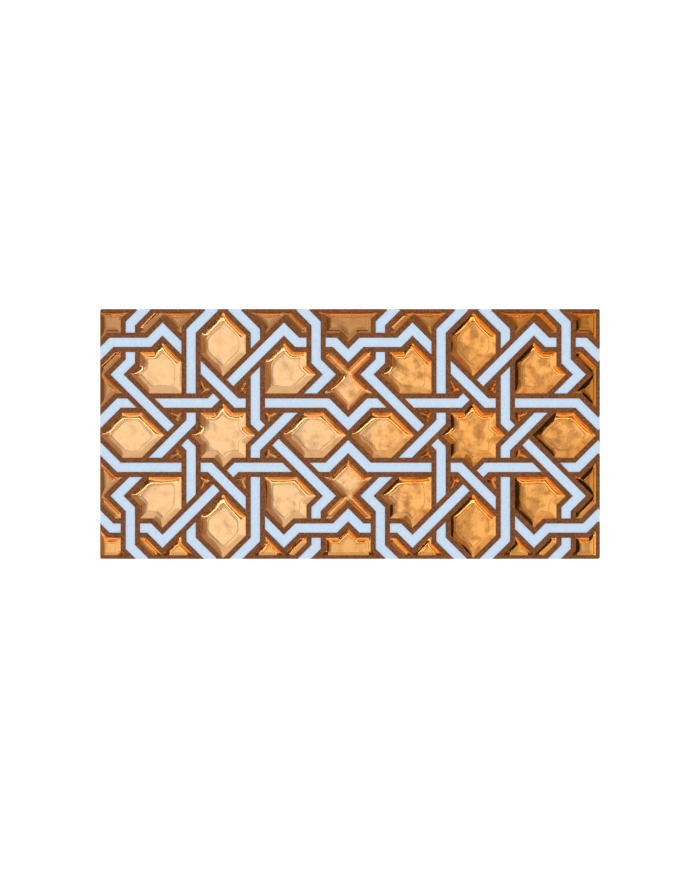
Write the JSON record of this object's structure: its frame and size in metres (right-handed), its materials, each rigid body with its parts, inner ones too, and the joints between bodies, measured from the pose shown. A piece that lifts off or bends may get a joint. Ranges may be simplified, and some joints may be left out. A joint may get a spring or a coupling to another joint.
{
  "type": "relief tile",
  "caption": "Oblong glazed wall tile with interlaced geometric strapwork in relief, lustre-glazed pits and a keyed back.",
  "frame": {"origin": "middle of the back, on the flat ribs that the tile lies on", "axes": "+X along the long side, +Y across the tile, +Z out of the decorated face"},
  "size_m": [0.28, 0.14, 0.012],
  "materials": {
    "glazed_clay": "fired clay with copper lustre glaze in the pits, white glaze in the channels and bare brown ridges"
  },
  "bodies": {
    "root": {"relief_tile": "glazed_clay"}
  },
  "joints": []
}
